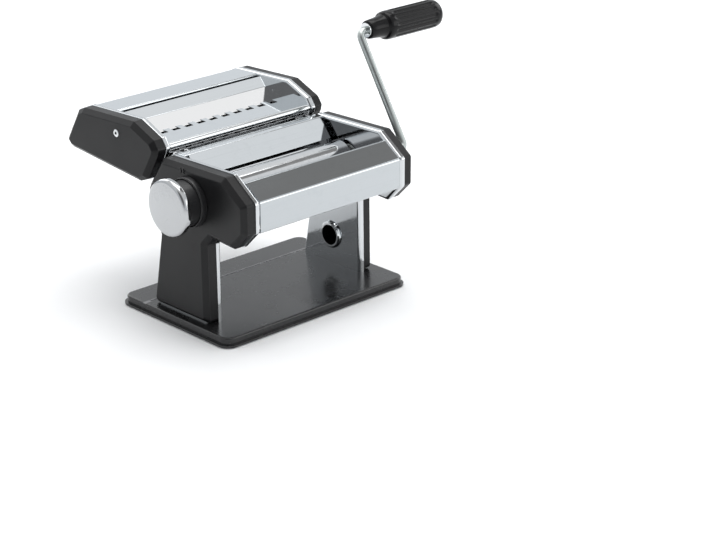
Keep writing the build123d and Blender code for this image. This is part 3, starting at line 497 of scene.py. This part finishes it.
def build_cap():
    """Knob cap turned with a fine step: domed face, rounded shoulder, folded rim."""
    lo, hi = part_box("knob_cap")
    cy, cz = (lo.y + hi.y) / 2, (lo.z + hi.z) / 2
    xf, xr = lo.x, hi.x                     # face and rear rim
    R = (hi.z - lo.z) / 2
    prof = []
    dome = (0.0214 ** 2 + 0.0014 ** 2) / 0.0028
    for i in range(1, 13):
        r = 0.0214 * i / 12
        prof.append((xf + dome - math.sqrt(dome ** 2 - r * r), r))
    # shoulder: quarter turn from the face's rim out to the side
    x_side = xf + 0.0051
    for i in range(1, 17):
        t = i / 16
        a = math.radians(90) * t
        prof.append((x_side - (x_side - (xf + 0.0014)) * math.cos(a), 0.0214 + (R - 0.0214) * math.sin(a)))
    prof += [(xr - 0.0015, R)]
    for i in range(1, 7):
        a = math.radians(90) * i / 6
        prof.append((xr - 0.0015 + 0.0015 * math.sin(a), R - 0.0015 + 0.0015 * math.cos(a)))
    inner = [(xr, 0.0150), (xr - 0.0012, 0.0150), (xr - 0.0012, 0.0236), (xr - 0.0036, 0.0236),
             (xr - 0.0059, 0.0206), (xr - 0.0072, 0.0090), (xr - 0.0074, 0.0010)]
    seg = 144
    bm = bmesh.new()
    rings = [[bm.verts.new((x, cy + r * math.cos(2 * math.pi * k / seg), cz + r * math.sin(2 * math.pi * k / seg)))
              for k in range(seg)] for x, r in prof + inner]
    for a, b in zip(rings, rings[1:]):
        for k in range(seg):
            bm.faces.new((a[k], a[(k + 1) % seg], b[(k + 1) % seg], b[k]))
    for ring, x in ((rings[0], xf), (rings[-1], xr - 0.0074)):
        tip = bm.verts.new((x, cy, cz))
        for k in range(seg):
            bm.faces.new((ring[k], ring[(k + 1) % seg], tip))
    o = mesh_object("turned_cap", bm, M["cap"])
    for e in o.data.edges:
        a, b = (o.data.vertices[i].co for i in e.vertices)
        ra, rb = (math.hypot(v.y - cy, v.z - cz) for v in (a, b))
        e.use_edge_sharp = a.x > xr - 0.0076 and abs(ra - rb) < 1e-6 and ra < R - 0.001 and abs(a.x - b.x) < 1e-7
    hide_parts("knob_cap")
    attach(o, "knob")
    return o


build_cap()


def build_spring():
    """Coil spring behind the knob. The real spring shortens as the knob is pulled out; this mesh is built at one
    length.
    """
    lo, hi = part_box("knob_spring")
    cy, cz = (lo.y + hi.y) / 2, (lo.z + hi.z) / 2
    wire, radius, pitch = 0.00054, 0.0063, 0.00175
    x0, x1 = hi.x - 0.0006, lo.x + 0.0006
    turns = (x0 - x1) / pitch
    steps, seg = int(turns * 48), 12
    bm = bmesh.new()
    rings = []
    for i in range(steps + 1):
        t = i / steps
        a = 2 * math.pi * turns * t
        radial = Vector((0, math.cos(a), math.sin(a)))
        tangent = Vector((-(x0 - x1), -radius * 2 * math.pi * turns * math.sin(a),
                          radius * 2 * math.pi * turns * math.cos(a))).normalized()
        side = tangent.cross(radial).normalized()
        mid = Vector((x0 + (x1 - x0) * t, cy, cz)) + radial * radius
        rings.append([bm.verts.new(mid + (radial * math.cos(b) + side * math.sin(b)) * wire)
                      for b in (2 * math.pi * k / seg for k in range(seg))])
    for a, b in zip(rings, rings[1:]):
        for k in range(seg):
            bm.faces.new((a[k], a[(k + 1) % seg], b[(k + 1) % seg], b[k]))
    bm.faces.new(rings[0])
    bm.faces.new(rings[-1])
    o = mesh_object("coil_spring", bm, M["spring"])
    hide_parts("knob_spring")
    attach(o, "gauge")
    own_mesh(o)
    return o


build_spring()

# ---------------------------------------------------------------------------
# Camera, floor and light
# ---------------------------------------------------------------------------
cam_data = bpy.data.cameras.new("camera")
cam = bpy.data.objects.new("camera", cam_data)
scene.collection.objects.link(cam)
cam.location = (-1.1611, -1.3376, 0.7306)
right = Vector((0.7239, -0.6899, 0.0)).normalized()
look = Vector((0.6405, 0.6722, -0.3714)).normalized()
up = right.cross(look).normalized()
right = look.cross(up).normalized()
cam.matrix_world = Matrix((
    (right.x, up.x, -look.x, cam.location.x),
    (right.y, up.y, -look.y, cam.location.y),
    (right.z, up.z, -look.z, cam.location.z),
    (0, 0, 0, 1)))
cam_data.sensor_fit = "HORIZONTAL"
cam_data.sensor_width = 36.0
cam_data.lens = 2151.0 / 716.0 * 36.0
cam_data.clip_start = 0.05
cam_data.clip_end = 60
scene.camera = cam

bm = bmesh.new()
for x, y in ((-9, -9), (9, -9), (9, 9), (-9, 9)):
    bm.verts.new((x, y, 0.0))
bm.faces.new(bm.verts)
floor_mat = Mat("floor_white", (0.90, 0.905, 0.91), rough=0.7, spec=0.2)
floor_mat.base(floor_mat.mix(floor_mat.noise(3.0), (0.90, 0.905, 0.91), (0.915, 0.92, 0.925)))
floor = mesh_object("floor", bm, floor_mat.m, smooth=False)


def area(name, loc, target, size, power, color=(1, 1, 1), sy=None):
    l = bpy.data.lights.new(name, "AREA")
    l.energy = power
    l.color = color
    l.shape = "RECTANGLE"
    l.size = size
    l.size_y = sy or size
    o = bpy.data.objects.new(name, l)
    o.location = loc
    d = Vector(target) - Vector(loc)
    o.rotation_euler = d.to_track_quat("-Z", "Y").to_euler()
    scene.collection.objects.link(o)
    return o


area("top", (0.35, 0.25, 2.0), (0, 0, 0.1), 1.5, 20)
area("side", (1.9, -0.3, 1.2), (0, 0, 0.1), 1.1, 9)
area("back", (0.2, 1.9, 1.3), (0, 0.05, 0.1), 1.4, 10)

world = bpy.data.worlds.new("studio")
scene.world = world
world.use_nodes = True
wt = world.node_tree
bg = wt.nodes["Background"]
co = wt.nodes.new("ShaderNodeTexCoord").outputs["Generated"]


def w_dot(direction):
    v = Vector(direction).normalized()
    d = wt.nodes.new("ShaderNodeVectorMath")
    d.operation = "DOT_PRODUCT"
    wt.links.new(co, d.inputs[0])
    d.inputs[1].default_value = v
    return d.outputs["Value"]


def w_spot(direction, inner, outer):
    """1 within inner degrees of direction, 0 beyond outer degrees."""
    r = wt.nodes.new("ShaderNodeMapRange")
    r.interpolation_type = "SMOOTHSTEP"
    r.inputs["From Min"].default_value = math.cos(math.radians(outer))
    r.inputs["From Max"].default_value = math.cos(math.radians(inner))
    wt.links.new(w_dot(direction), r.inputs["Value"])
    return r.outputs["Result"]


def w_mix(fac, a, b):
    x = wt.nodes.new("ShaderNodeMix")
    x.data_type = "RGBA"
    wt.links.new(fac, x.inputs["Factor"])
    for key, v in ((6, a), (7, b)):
        if isinstance(v, tuple):
            x.inputs[key].default_value = (*v, 1)
        else:
            wt.links.new(v, x.inputs[key])
    return x.outputs[2]


sky = w_mix(w_spot((0, 0, 1), 10, 80), (0.86, 0.89, 0.92), (1.0, 1.0, 1.0))
# unlit front left of the studio, that the inner walls mirror
sky = w_mix(w_spot((-0.66, -0.52, 0.55), 14, 36), sky, (0.20, 0.20, 0.205))
# bright low strip at the front right, that bends and rims catch
sky = w_mix(w_spot((0.60, -0.78, 0.16), 9, 24), sky, (2.6, 2.6, 2.6))
# grey card that the hood's slope mirrors
sky = w_mix(w_spot((0.64, -0.10, 0.76), 7, 15), sky, (0.335, 0.33, 0.325))
wt.links.new(sky, bg.inputs["Color"])
bg.inputs["Strength"].default_value = 0.95

scene.view_settings.view_transform = "Standard"
scene.view_settings.look = "None"
